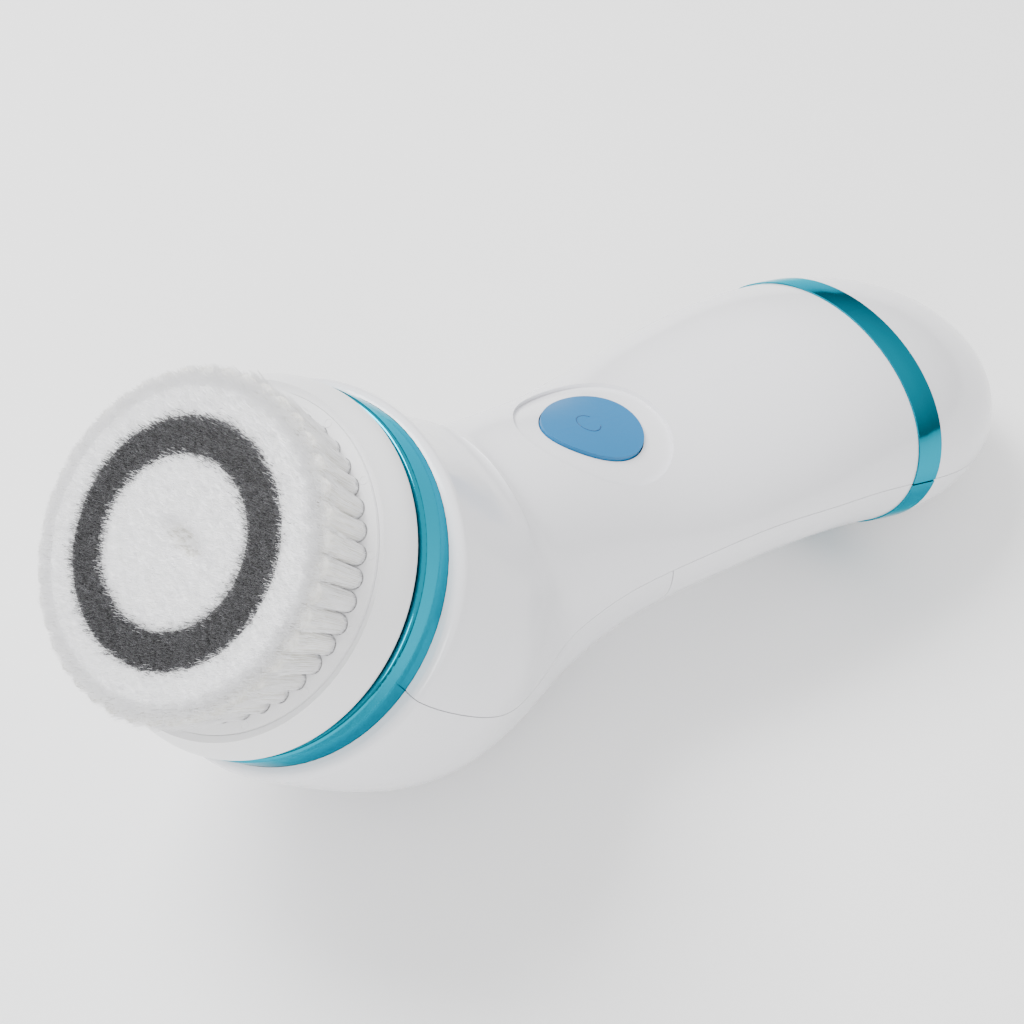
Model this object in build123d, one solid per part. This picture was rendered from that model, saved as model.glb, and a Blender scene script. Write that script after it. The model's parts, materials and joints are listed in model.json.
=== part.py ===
from build123d import *
from math import acos, atan2, cos, degrees, pi, radians, sin, sqrt, tan
import os

# Electric facial cleansing brush, millimetres.
# Everything is drawn in the head's own frame: Z runs out of the head along the spindle, X runs from
# the head towards the front of the handle, and the trim ring's inner edge lies at Z = 0.
# rest_place() then lays the finished device on its back, +X towards the tail, +Z up.

# ---- overall sizes -------------------------------------------------------------------------------
HEAD_D = 52.0            # outside of the head's trim ring
HANDLE_W = 47.6          # widest point of the handle
HANDLE_T = 35.4          # thickest point of the handle
WALL = 2.0               # shell thickness
SEAM_GAP = 0.14          # gap along the seam between the front and back halves
REST_TILT = 43.5         # angle of the spindle above the surface when the device lies on its back

# ---- fits ----------------------------------------------------------------------------------------
SEAT = 0.04              # radial clearance of pieces fixed to each other
RUN = 0.06               # radial clearance of turning and sliding fits
BUTTON_GAP = 0.18        # gap round the power button

# ---- head ----------------------------------------------------------------------------------------
RIM_ROUND = 1.5
RING_T = 1.5             # trim ring, radially
RING_FRONT = 5.9         # front edge of the trim ring
RING_SEAT = 1.3          # how deep the ring sits in the shell's mouth
COLLAR_H = 4.7           # thickened band inside the mouth
COLLAR_IN = 4.0          # collar's inner radius, in from the ring's outside
PLATE_T = 2.4            # front plate
BOSS_R = 7.0             # raised centre of the front plate
BOSS_TOP = 3.0
SPINDLE_D = 6.0
JOURNAL_D = 4.0          # lower end of the spindle
BUSH_WALL = 1.5
SEAL_WALL = 2.0
SEAL_T = 1.1
HEX_AF = 7.0             # drive hexagon, across flats
HEX_TOP = 10.0
HEX_START = 3.4

# ---- brush head ----------------------------------------------------------------------------------
BASE_GAP = 0.5           # brush base above the trim ring
BASE_FACE = 12.7         # height of the tuft face
BASE_IN = 0.1            # brush base radius, inside the trim ring's radius
LIP_W = 2.7              # rounded lip round the tuft face
DECK_T = 1.8
TUFT_PLATE_T = 2.5
TUFT_HOLE_D = 2.8
TUFT_DEPTH = 1.9
TUFT_EDGE = 2.86         # outer row of tufts, in from the edge of the tuft plate
TUFT_ROW_STEP = 3.4      # between the rows of tufts
TUFT_PITCH = 3.03        # least distance between the tufts of a row
BRISTLE_TOP = 25.6       # brush height at the centre
BRISTLE_EDGE = 24.5      # brush height at the rim
BRISTLE_FLARE = 1.7      # how much the outer bristles lean out
DARK_FROM_EDGE = 3.7     # charcoal ring's outer radius, in from the outer row of tufts
DARK_W = 5.1             # charcoal ring, radially
TUFT_GAP = 0.06          # between the three bristle zones

# ---- drive ---------------------------------------------------------------------------------------
MODULE = 0.5
ADDENDUM = 0.85          # in modules
DEDENDUM = 1.15
BACKLASH = 0.07
GEAR_SPREAD = 0.04       # added to each pair's centre distance
PRESSURE_ANGLE = 20.0
PINION_N = 10
IDLER_BIG_N = 30
IDLER_SMALL_N = 12
OUTPUT_N = 36
MOTOR_X = 13.0           # motor shaft from the spindle
MOTOR_D = 20.4
MOTOR_FLAT = 15.4
MOTOR_L = 25.0
MOTOR_SHAFT_D = 2.0
OUTPUT_TOP = -2.5
OUTPUT_W = 3.0
IDLER_BIG_TOP = -6.5
IDLER_BIG_W = 2.6
FRAME_TOP = -10.8
FRAME_T = 2.2
FRAME_GAP = 1.0          # between the gearbox frame's rim and the collar
FRAME_CUT_X = -13.0      # the frame's disc is cut straight here
POST_D = 5.2
POST_GAP = 1.1           # between the posts and the collar
POST_ANGLES = (112.0, 220.0, 318.0)
MOTOR_SCREW_Y = 6.6
MOTOR_BOSS_R = 3.0
MOTOR_BOSS_H = 1.2
MOTOR_CAP_T = 2.2
PIN_D = 2.0

# ---- handle --------------------------------------------------------------------------------------
# stations along the body: depth below the ring, offset towards the front, heading of the centre line,
# then half width and half thickness, written as differences from the head's or the handle's half size
HEAD_ROWS = (
    (0.0, 0.0, 0.0, 1.8, 1.8),
    (8.0, -0.2, 0.0, 4.3, 0.4),
    (16.0, 0.0, 1.5, 4.3, -0.2),
    (24.0, 1.3, 11.0, 2.1, -0.5),
    (31.5, 4.4, 27.0, -1.4, -0.7),
)
HANDLE_ROWS = (
    (37.0, 8.8, 42.0, -2.5, 6.8),
    (42.0, 14.1, 50.0, -4.9, 5.2),
    (47.2, 20.1, 50.5, -5.3, 2.6),
    (52.9, 25.9, 48.3, -4.5, -0.4),
    (58.7, 31.4, 45.6, -3.1, -2.7),
    (64.5, 36.9, 43.0, -2.0, -3.6),
    (70.5, 42.2, 40.3, -1.2, -3.4),
    (76.6, 47.0, 37.6, -0.6, -2.5),
    (83.1, 51.5, 34.4, -0.3, -1.3),
    (90.1, 55.4, 30.5, -0.1, -0.4),
    (97.0, 58.6, 27.0, 0.0, 0.0),
)
DOME_L = 34.0
DOME_HEADING = 25.0
DOME_STEPS = (0.25, 0.48, 0.68, 0.83, 0.93, 0.98)
SEAM_OFFSETS = (0.8, 1.6, 2.2, 2.0, 1.2, 0.6, 0.2, 0.4, 1.0, 1.8, 2.0, 1.6, 1.0, 0.6, 0.4, 0.4)
TAIL_RING = (97.4, 58.1, 29.6)      # depth, offset and heading of the ring's tail edge
TAIL_RING_W = 5.8
TAIL_RING_DEPTH = 1.1
TAIL_RING_PROUD = 0.25
TAIL_RING_END_GAP = 0.3

# ---- power button --------------------------------------------------------------------------------
BUTTON_AT = (40.0, 37.4, 26.8)      # depth, offset, and tilt of the surface's normal above X
BUTTON_L = 17.4
BUTTON_W = 14.4
BUTTON_EGG = 0.26                   # how much wider the tail end of the button is
DISH_MARGIN = 4.4
DISH_DEPTH = 0.7
BUTTON_SINK = 0.1
BUTTON_T = 2.6
BUTTON_FLANGE = 0.9
BUTTON_FLANGE_T = 0.8
SEAL_OUT = 1.9                      # how far the button's seal reaches beyond its flange
BUTTON_TRAVEL = 0.8
BUTTON_REACH = 8.0                  # height of the cutters that shape the button and its seat
SWITCH_TRAVEL = 0.3
STEM_D = 3.0
SEAL_GAP = 0.5                      # between the button's flange and its seal
PCB_L = 27.0
PCB_W = 16.4
PCB_T = 1.2
PCB_SHIFT = 1.2                     # board's middle, tailwards of the button's
BOARD_POST_D = 2.4
BOARD_POST_X = 12.0
BOARD_POST_Y = 6.6
PCB_DEPTH = 9.0          # board's face below the button's surface
SWITCH_BODY = 6.0
SWITCH_H = 3.2
PLUNGER_D = 3.4
PLUNGER_OUT = 1.0                   # plunger above the switch

# ---- batteries (two AA cells side by side) ---------------------------------------------------------
CELL_D = 14.2
CELL_L = 49.4
NUB_D = 5.4
NUB_H = 1.1
CELL_APART = 1.2                    # between the two cells
BAY_AT = (88.6, 53.0, 31.0)         # depth, offset and heading of the bay's centre
BAY_L = 56.0
BAY_END = 1.6
BAY_FLOOR = 1.4
BAY_SIDE = 1.3
CELL_CLEAR = 0.15
CONTACT_T = 0.4
SPRING_WIRE = 0.8
SPRING_TURNS = 3.5
SPRING_R = 3.6
SPRING_CONE = -8.0
CONTACT_W = 9.0
CONTACT_GAP = 0.2                   # room left at each end of a cell
TRAY_LOW = -4.5                     # tray's open edge

# ---- cover ---------------------------------------------------------------------------------------
COVER_AT = (53.4, 26.4, 48.0)       # depth, offset and heading of the cover's neck edge
COVER_GAP = 0.2
HINGE_OUT = 0.2                     # hinge line of the cover, beyond the tail's tip
FLANGE_L = 9.0
FLANGE_BACK = 4.0
FLANGE_T = 1.6
FLANGE_DROP = 0.35
FLANGE_IN = 13.7                    # screw flange, in from the back of the handle
FLANGE_SIDE = 0.6                   # flange beyond its screw bosses
WEB_H = 14.0
TONGUE_Y = 5.0
TONGUE_W = 4.0
TONGUE_T = 1.4
SCREW_D = 2.0
SCREW_HEAD_D = 3.8
SCREW_HEAD_H = 1.4
SCREW_L = 6.0
SCREW_CLEAR = 0.1                   # radial clearance of screw holes and heads
CASE_SCREW_Y = 14.2
CASE_SCREW_AT = 4.6                 # along the flange from the cover's edge
CASE_BOSS_D = 5.0
PILOT_DEPTH = 9.0

HEAD_R = HEAD_D / 2
MOUTH_R = HEAD_R + SEAT
RING_IN = HEAD_R - RING_T
COLLAR_R = HEAD_R - COLLAR_IN
PLATE_BOTTOM = -RING_SEAT
PLATE_TOP = PLATE_BOTTOM + PLATE_T
BUSH_D = SPINDLE_D + 2 * BUSH_WALL
SEAL_D = SPINDLE_D + 2 * SEAL_WALL
POST_R = COLLAR_R - POST_GAP - POST_D / 2
FRAME_R = COLLAR_R - FRAME_GAP
TUFT_PLATE_R = HEAD_R - BASE_IN - LIP_W - SEAT
TUFT_OUTER_R = TUFT_PLATE_R - TUFT_EDGE
DARK_OUT = TUFT_OUTER_R - DARK_FROM_EDGE
DARK_IN = DARK_OUT - DARK_W
CELL_PITCH = CELL_D + CELL_APART
FLANGE_LEVEL = FLANGE_IN - HANDLE_T / 2
FAR = 220.0                         # beyond every piece


def station_rows():
    """Every station as depth, offset, heading, half width and half thickness."""
    rows = [(p, q, a, HEAD_R + w, HEAD_R + t) for p, q, a, w, t in HEAD_ROWS]
    rows += [(p, q, a, HANDLE_W / 2 + w, HANDLE_T / 2 + t) for p, q, a, w, t in HANDLE_ROWS]
    return rows


def at(depth, offset):
    """Point in the mid plane, from its depth below the ring and its offset to the front."""
    return Vector(offset, 0, -depth)


def along(heading):
    return Vector(sin(radians(heading)), 0, -cos(radians(heading)))


def front(heading):
    return Vector(cos(radians(heading)), 0, sin(radians(heading)))


def cross_plane(depth, offset, heading):
    """Plane across the body: local X to the front, local Z along the body to the tail."""
    return Plane(origin=at(depth, offset), x_dir=front(heading), z_dir=along(heading))


def bay_plane():
    """Local X towards the tail, local Z to the front."""
    depth, offset, heading = BAY_AT
    return Plane(origin=at(depth, offset), x_dir=along(heading), z_dir=front(heading))


def button_plane():
    """Local X towards the tail along the surface, local Z out of the surface."""
    depth, offset, tilt = BUTTON_AT
    normal = Vector(cos(radians(tilt)), 0, sin(radians(tilt)))
    tailward = Vector(sin(radians(tilt)), 0, -cos(radians(tilt)))
    return Plane(origin=at(depth, offset), x_dir=tailward, z_dir=normal)


def dome_start():
    depth, offset = HANDLE_ROWS[-1][:2]
    return at(depth, offset)


def tail_tip():
    return dome_start() + along(DOME_HEADING) * DOME_L


def body_form(inset):
    """The whole body's form as one solid, drawn in all round by inset."""
    rings = [cross_plane(p, q, a) * Ellipse(t - inset, w - inset) for p, q, a, w, t in station_rows()]
    length = DOME_L - inset
    for share in DOME_STEPS:
        centre = dome_start() + along(DOME_HEADING) * (length * share)
        squeeze = sqrt(1 - share ** 2)
        plane = Plane(origin=centre, x_dir=front(DOME_HEADING), z_dir=along(DOME_HEADING))
        rings.append(plane * Ellipse((HANDLE_T / 2 - inset) * squeeze, (HANDLE_W / 2 - inset) * squeeze))
    tip = dome_start() + along(DOME_HEADING) * length
    return loft(rings + [Vertex(tip.X, tip.Y, tip.Z)])


def seam_points(shift):
    """Side view of the seam, moved to the front by shift."""
    points = [at(-12.0, SEAM_OFFSETS[0] + shift)]
    for (p, q, a, _, _), offset in zip(station_rows(), SEAM_OFFSETS):
        points.append(at(p, q) + front(a) * (offset + shift))
    beyond = tail_tip() + along(DOME_HEADING) * 25 + front(DOME_HEADING) * (SEAM_OFFSETS[-1] + shift)
    return points + [beyond]


def seam_side(is_front, shift):
    """Block that holds everything on one side of the seam."""
    points = seam_points(shift)
    far_x = FAR if is_front else -FAR
    curve = Spline(*points)
    corners = [points[-1], Vector(far_x, 0, points[-1].Z), Vector(far_x, 0, points[0].Z), points[0]]
    side = make_face([curve, Polyline(*corners)])
    return extrude(side, amount=FAR / 2, both=True)


def slab(depth, offset, heading, start, end):
    """Everything between two planes across the body, start and end along its heading."""
    plane = cross_plane(depth, offset, heading)
    return plane * Pos(0, 0, (start + end) / 2) * Box(FAR, FAR, end - start)


def tube(outer_r, inner_r, bottom, top):
    return Pos(0, 0, (bottom + top) / 2) * (Cylinder(outer_r, top - bottom) - Cylinder(inner_r, top - bottom))


def rod(radius, bottom, top):
    return Pos(0, 0, (bottom + top) / 2) * Cylinder(radius, top - bottom)


def egg(grow):
    """Outline of the power button, blunt at the head end and wide at the tail end."""
    half_l = BUTTON_L / 2 + grow
    half_w = BUTTON_W / 2 + grow
    points = []
    for step in range(24):
        turn = 2 * pi * step / 24
        swell = 1 + BUTTON_EGG * cos(turn)
        points.append((half_l * cos(turn), half_w * sin(turn) * swell))
    return make_face(Spline(*points, periodic=True))


def egg_block(grow, bottom, top):
    return button_plane() * Pos(0, 0, bottom) * extrude(egg(grow), amount=top - bottom)


def involute_gear(teeth, width, bore, phase):
    """Spur gear, one tooth centred at phase degrees, its lower face at Z = 0."""
    pressure = radians(PRESSURE_ANGLE)
    pitch_r = MODULE * teeth / 2
    base_r = pitch_r * cos(pressure)
    tip_r = pitch_r + ADDENDUM * MODULE
    root_r = pitch_r - DEDENDUM * MODULE
    outline = []
    for tooth in range(teeth):
        centre = radians(phase) + 2 * pi * tooth / teeth
        flank = []
        for r in (root_r, max(base_r, root_r + 0.02), pitch_r, (pitch_r + tip_r) / 2, tip_r):
            roll = acos(min(1.0, base_r / r))
            half = pi / (2 * teeth) + tan(pressure) - pressure - (tan(roll) - roll) - BACKLASH / (2 * r)
            flank.append((r, half))
        for r, half in flank:
            outline.append((r * cos(centre - half), r * sin(centre - half)))
        for r, half in reversed(flank):
            outline.append((r * cos(centre + half), r * sin(centre + half)))
    blank = extrude(make_face(Polyline(*outline, close=True)), amount=width)
    return blank - rod(bore / 2, -1, width + 1)


def meshed_phase(phase, teeth, mate_teeth, direction):
    """Phase of a gear that meshes with one of the given phase, lying in the given direction from it."""
    lead = phase - direction
    return direction + 180 + 180 / mate_teeth - lead * teeth / mate_teeth


def centre_distance(teeth, mate_teeth):
    return MODULE * (teeth + mate_teeth) / 2 + GEAR_SPREAD


def idler_place():
    """Idler axis, meshing with the output gear on the spindle and with the motor's pinion."""
    to_spindle = centre_distance(IDLER_SMALL_N, OUTPUT_N)
    to_motor = centre_distance(PINION_N, IDLER_BIG_N)
    x = (to_spindle ** 2 - to_motor ** 2 + MOTOR_X ** 2) / (2 * MOTOR_X)
    return x, sqrt(to_spindle ** 2 - x ** 2)


# ---- shells ----------------------------------------------------------------------------------------
OUTER = body_form(0)
INNER = body_form(WALL)
FRONT_SIDE = seam_side(True, SEAM_GAP / 2)
BACK_SIDE = seam_side(False, -SEAM_GAP / 2)


def tail_groove(depth, grow):
    """Band under the tail ring, down to depth below the surface, its width grown each way."""
    band = slab(*TAIL_RING, -TAIL_RING_W - grow, grow)
    return band - body_form(depth)


def skin():
    """Both halves of the shell in one, before they are parted."""
    rounded = fillet(OUTER.edges().sort_by(Axis.Z)[-1], RIM_ROUND)
    collar = INNER & rod(HEAD_R + 10, PLATE_BOTTOM - COLLAR_H, 1)
    hollow = INNER - collar
    opening = rod(MOUTH_R, PLATE_BOTTOM, 20) + rod(COLLAR_R, PLATE_BOTTOM - COLLAR_H - 1, 1)
    return rounded - hollow - opening - tail_groove(TAIL_RING_DEPTH, SEAT)


def case_screw_planes():
    """Screw axes of the case, local Z to the front, at the face of the flange they sit on."""
    depth, offset, heading = COVER_AT
    plane = cross_plane(depth, offset, heading)
    places = []
    for y in (-CASE_SCREW_Y, CASE_SCREW_Y):
        centre = plane.from_local_coords((FLANGE_LEVEL, y, CASE_SCREW_AT))
        places.append(Plane(origin=centre, x_dir=along(heading), z_dir=front(heading)))
    return places


def build_front_shell(whole):
    shell = whole & FRONT_SIDE
    dish = egg_block(DISH_MARGIN, -BUTTON_REACH, BUTTON_REACH) - body_form(DISH_DEPTH)
    shell -= dish
    shell -= egg_block(BUTTON_GAP, -BUTTON_REACH, BUTTON_REACH)
    for plane in case_screw_planes():
        boss = plane * (rod(CASE_BOSS_D / 2, FLANGE_T, HANDLE_T) - rod(SCREW_D / 2, 0, PILOT_DEPTH))
        shell += boss & body_form(WALL / 2)
    for x in (PCB_SHIFT - BOARD_POST_X, PCB_SHIFT + BOARD_POST_X):
        for y in (-BOARD_POST_Y, BOARD_POST_Y):
            post = button_plane() * Pos(x, y, 0) * rod(BOARD_POST_D / 2, -PCB_DEPTH, BUTTON_REACH)
            shell += post & body_form(WALL / 2)
    return shell


def cover_zone(gap):
    """Everything on the tail side of the cover's neck edge."""
    return slab(*COVER_AT, gap, FAR)


def build_back_shell(whole):
    shell = (whole & BACK_SIDE) - cover_zone(0)
    depth, offset, heading = COVER_AT
    plane = cross_plane(depth, offset, heading)
    width = 2 * (CASE_SCREW_Y + CASE_BOSS_D / 2 + FLANGE_SIDE)
    middle = plane * Pos(FLANGE_LEVEL + FLANGE_T / 2, 0, (FLANGE_L - FLANGE_BACK) / 2)
    flange = middle * Box(FLANGE_T, width, FLANGE_L + FLANGE_BACK)
    web_l = FLANGE_BACK - 1.0
    web_level = FLANGE_LEVEL + FLANGE_T / 2 - WEB_H / 2
    web = plane * Pos(web_level, 0, -FLANGE_BACK + web_l / 2) * Box(WEB_H, width, web_l)
    inside = body_form(WALL + FLANGE_DROP)
    shell += (flange & inside) + (web & body_form(WALL / 2))
    for place in case_screw_planes():
        shell -= place * rod(SCREW_D / 2 + SCREW_CLEAR, -1, PILOT_DEPTH)
    return shell & BACK_SIDE


def build_battery_cover(whole):
    cover = (whole & BACK_SIDE) & cover_zone(COVER_GAP)
    heading = DOME_HEADING
    tail = Plane(origin=tail_tip(), x_dir=front(heading), z_dir=along(heading))
    for y in (-TONGUE_Y, TONGUE_Y):
        tongue = tail * Pos(-1.2, y, -4.6) * Box(5.2, TONGUE_W, TONGUE_T)
        cover += tongue & body_form(WALL + FLANGE_DROP)
        root = tail * Pos(-3.2, y, -4.0) * Box(3.0, TONGUE_W, 2.6)
        cover += root & body_form(WALL / 2) & BACK_SIDE
    return cover


# ---- trim rings and front plate ----------------------------------------------------------------------
def build_head_trim_ring():
    ring = tube(HEAD_R, RING_IN, PLATE_BOTTOM, RING_FRONT)
    edges = ring.edges().group_by(Axis.Z)[-1]
    return fillet(edges, RING_T * 0.4)


def tail_band():
    outside = body_form(-TAIL_RING_PROUD) & slab(*TAIL_RING, -TAIL_RING_W, 0)
    return outside - body_form(TAIL_RING_DEPTH - SEAT)


def build_front_plate():
    plate = rod(RING_IN - SEAT, PLATE_BOTTOM, PLATE_TOP) + rod(BOSS_R, PLATE_BOTTOM, BOSS_TOP)
    plate -= rod(BUSH_D / 2 + SEAT, -FAR, FAR)
    plate -= rod(SEAL_D / 2 + SEAT, BOSS_TOP - SEAL_T, FAR)
    for x, y in post_places():
        plate -= Pos(x, y, 0) * rod(SCREW_D / 2 + SCREW_CLEAR, -FAR, FAR)
        plate -= Pos(x, y, 0) * rod(SCREW_HEAD_D / 2 + SCREW_CLEAR, PLATE_TOP - SCREW_HEAD_H, FAR)
    return plate


def post_places():
    return [(POST_R * cos(radians(a)), POST_R * sin(radians(a))) for a in POST_ANGLES]


def build_spindle_bush():
    return tube(BUSH_D / 2, SPINDLE_D / 2 + RUN, PLATE_BOTTOM, BOSS_TOP - SEAL_T)


def build_shaft_seal():
    return tube(SEAL_D / 2, SPINDLE_D / 2 + RUN, BOSS_TOP - SEAL_T, BOSS_TOP)


# ---- brush head --------------------------------------------------------------------------------------
def ring_profile(points):
    """Solid turned round the spindle axis from (radius, height) points."""
    outline = make_face(Polyline(*[(r, 0, z) for r, z in points], close=True))
    return revolve(outline, Axis.Z)


def build_brush_base():
    widest = HEAD_R - BASE_IN
    bottom = RING_FRONT + BASE_GAP
    lip_in = widest - LIP_W
    deck = BASE_FACE - TUFT_PLATE_T
    lip_top = (lip_in + 1.0, 0, BASE_FACE)
    outside = Spline(
        (widest - 0.9, 0, bottom), (widest, 0, bottom + 1.1), (widest - 0.5, 0, bottom + 3.9), lip_top
    )
    inside = Polyline(
        lip_top,
        (lip_in, 0, BASE_FACE - 0.5),
        (lip_in, 0, deck),
        (0, 0, deck),
        (0, 0, deck - DECK_T),
        (widest - 3.0, 0, deck - DECK_T),
        (widest - 2.2, 0, bottom),
        (widest - 0.9, 0, bottom),
    )
    base = revolve(make_face([outside, inside]), Axis.Z)
    hub_bottom = BOSS_TOP + 0.5
    base += rod(BOSS_R - 0.6, hub_bottom, deck)
    hexagon = RegularPolygon(HEX_AF / 2 + RUN, 6, major_radius=False)
    base -= Pos(0, 0, hub_bottom - 1) * extrude(hexagon, amount=HEX_TOP + 0.2 - hub_bottom + 1)
    for rib in range(6):
        bar = Pos(widest / 2, 0, (bottom + 0.4 + deck) / 2) * Box(widest - 5, 1.0, deck - bottom - 0.4)
        base += Rot(0, 0, 30 + 60 * rib) * bar - rod(BOSS_R - 1.0, -FAR, FAR)
    return base


def tuft_rows():
    """Radius and number of tufts of each row, from the outside in."""
    number = int(TUFT_OUTER_R / TUFT_ROW_STEP - 0.9) + 1
    radii = [TUFT_OUTER_R - TUFT_ROW_STEP * row for row in range(number)]
    return [(radius, int(2 * pi * radius / TUFT_PITCH)) for radius in radii]


def build_tuft_plate():
    disc = Circle(TUFT_PLATE_R)
    holes = [Circle(TUFT_HOLE_D / 2)]
    for row_r, count in tuft_rows():
        for step in range(count):
            turn = 2 * pi * step / count
            holes.append(Pos(row_r * cos(turn), row_r * sin(turn)) * Circle(TUFT_HOLE_D / 2))
    pierced = disc - holes
    lower = extrude(disc, amount=TUFT_PLATE_T - TUFT_DEPTH)
    upper = Pos(0, 0, TUFT_PLATE_T - TUFT_DEPTH) * extrude(pierced, amount=TUFT_DEPTH)
    return Pos(0, 0, BASE_FACE - TUFT_PLATE_T) * (lower + upper)


def brush_height(radius):
    share = radius / (TUFT_OUTER_R + BRISTLE_FLARE)
    return BRISTLE_TOP - (BRISTLE_TOP - BRISTLE_EDGE) * share ** 2


def build_bristles_outer():
    root = TUFT_OUTER_R + TUFT_HOLE_D / 2
    inner = DARK_OUT + TUFT_GAP
    foot = BASE_FACE + TUFT_GAP
    tip = root + BRISTLE_FLARE
    points = ((inner, foot), (root, foot), (tip, brush_height(tip) - 1.0), (tip - 1.0, brush_height(tip)),
              (inner, brush_height(inner)))
    return ring_profile(points)


def build_bristles_dark():
    foot = BASE_FACE + TUFT_GAP
    inner = DARK_IN + TUFT_GAP
    outer = DARK_OUT - TUFT_GAP
    points = ((inner, foot), (outer, foot), (outer, brush_height(outer)), (inner, brush_height(inner)))
    return ring_profile(points)


def build_bristles_centre():
    foot = BASE_FACE + TUFT_GAP
    radius = DARK_IN - TUFT_GAP
    return ring_profile(((0, foot), (radius, foot), (radius, brush_height(radius)), (0, BRISTLE_TOP)))


# ---- drive -------------------------------------------------------------------------------------------
def build_drive_spindle():
    shaft = rod(JOURNAL_D / 2, FRAME_TOP - FRAME_T - 1.6, FRAME_TOP + 0.3)
    shaft += rod(SPINDLE_D / 2, FRAME_TOP + 0.3, HEX_START + 0.1)
    hexagon = RegularPolygon(HEX_AF / 2, 6, major_radius=False)
    drive = Pos(0, 0, HEX_START) * extrude(hexagon, amount=HEX_TOP - HEX_START)
    return shaft + chamfer(drive.edges().group_by(Axis.Z)[-1], 0.5)


def build_output_gear():
    bottom = OUTPUT_TOP - OUTPUT_W
    gear = Pos(0, 0, bottom) * involute_gear(OUTPUT_N, OUTPUT_W, SPINDLE_D + 2 * SEAT, 0)
    hub = tube(SPINDLE_D / 2 + 1.8, SPINDLE_D / 2 + SEAT, bottom - 0.7, bottom)
    return gear + hub


def build_idler_gear():
    x, y = idler_place()
    toward_motor = degrees(atan2(-y, MOTOR_X - x))
    small_phase = meshed_phase(0, OUTPUT_N, IDLER_SMALL_N, degrees(atan2(y, x)))
    bore = PIN_D + 2 * RUN
    big = Pos(0, 0, IDLER_BIG_TOP - IDLER_BIG_W) * involute_gear(IDLER_BIG_N, IDLER_BIG_W, bore, toward_motor)
    small_l = OUTPUT_TOP + 0.4 - IDLER_BIG_TOP
    small = Pos(0, 0, IDLER_BIG_TOP) * involute_gear(IDLER_SMALL_N, small_l, bore, small_phase)
    return Pos(x, y, 0) * (big + small)


def build_idler_pin():
    x, y = idler_place()
    return Pos(x, y, 0) * rod(PIN_D / 2, FRAME_TOP - FRAME_T, PLATE_BOTTOM - 0.1)


def build_motor_pinion():
    x, y = idler_place()
    direction = degrees(atan2(-y, MOTOR_X - x))
    phase = meshed_phase(direction, IDLER_BIG_N, PINION_N, direction)
    bottom = IDLER_BIG_TOP - IDLER_BIG_W - 0.5
    pinion = involute_gear(PINION_N, IDLER_BIG_W + 1.0, MOTOR_SHAFT_D + 2 * SEAT, phase)
    return Pos(MOTOR_X, 0, bottom) * pinion


def motor_top():
    return FRAME_TOP - FRAME_T


def build_motor_shaft():
    return Pos(MOTOR_X, 0, 0) * rod(MOTOR_SHAFT_D / 2, motor_top() - MOTOR_L + 0.6, IDLER_BIG_TOP + 0.6)


def motor_blank(radius_in, bottom, top):
    """Round motor body with two flats."""
    flats = Box(MOTOR_FLAT - 2 * radius_in, MOTOR_D, top - bottom)
    return Pos(0, 0, (bottom + top) / 2) * (Cylinder(MOTOR_D / 2 - radius_in, top - bottom) & flats)


def build_motor_can():
    top = motor_top()
    can = motor_blank(0, top - MOTOR_L + MOTOR_CAP_T, top)
    can += rod(MOTOR_BOSS_R, top - 1, top + MOTOR_BOSS_H)
    can -= rod(MOTOR_SHAFT_D / 2 + RUN, top - MOTOR_L, top + 5)
    return Pos(MOTOR_X, 0, 0) * can


def build_motor_end_cap():
    top = motor_top() - MOTOR_L + MOTOR_CAP_T
    cap = motor_blank(0.2, top - MOTOR_CAP_T, top)
    cap += rod(MOTOR_BOSS_R, top - MOTOR_CAP_T - 1.4, top - MOTOR_CAP_T)
    for y in (-5.5, 5.5):
        cap += Pos(0, y, top - 3.4) * Box(0.5, 2.0, 2.6)
    cap -= rod(MOTOR_SHAFT_D / 2 + RUN, top - MOTOR_CAP_T - 0.2, top + 1)
    return Pos(MOTOR_X, 0, 0) * cap


def build_gearbox_frame():
    frame = rod(FRAME_R, FRAME_TOP - FRAME_T, FRAME_TOP)
    frame -= Pos(FRAME_CUT_X - FRAME_R / 2, 0, FRAME_TOP) * Box(FRAME_R, 2 * FRAME_R, 4 * FRAME_T)
    for x, y in post_places():
        arm = Pos(x, y, 0) * rod(POST_D / 2 + 0.8, FRAME_TOP - FRAME_T, FRAME_TOP)
        post = Pos(x, y, 0) * rod(POST_D / 2, FRAME_TOP - 0.1, PLATE_BOTTOM)
        frame += arm + post
        frame -= Pos(x, y, 0) * rod(SCREW_D / 2, PLATE_BOTTOM - SCREW_L, PLATE_BOTTOM + 1)
    frame += rod(JOURNAL_D / 2 + 1.6, FRAME_TOP - FRAME_T - 1.6, FRAME_TOP)
    frame -= rod(JOURNAL_D / 2 + RUN, -FAR, 0)
    x, y = idler_place()
    frame -= Pos(x, y, 0) * rod(PIN_D / 2 + SEAT, -FAR, 0)
    frame -= Pos(MOTOR_X, 0, 0) * rod(MOTOR_BOSS_R + SEAT, -FAR, 0)
    for y in (-MOTOR_SCREW_Y, MOTOR_SCREW_Y):
        frame -= Pos(MOTOR_X, y, 0) * rod(SCREW_D / 2 + SCREW_CLEAR, -FAR, 0)
    return frame


def screw():
    """Cross-head screw, head on top, the face under its head at Z = 0."""
    head = rod(SCREW_HEAD_D / 2, 0, SCREW_HEAD_H - 0.2)
    head = fillet(head.edges().group_by(Axis.Z)[-1], 0.4)
    for turn in (0, 90):
        head -= Rot(0, 0, turn) * Pos(0, 0, SCREW_HEAD_H - 0.2) * Box(2.2, 0.5, 1.0)
    return head + rod(SCREW_D / 2 - SEAT, -SCREW_L, 0.1)


def build_plate_screws():
    seat = PLATE_TOP - SCREW_HEAD_H
    return [Pos(x, y, seat) * screw() for x, y in post_places()]


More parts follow.
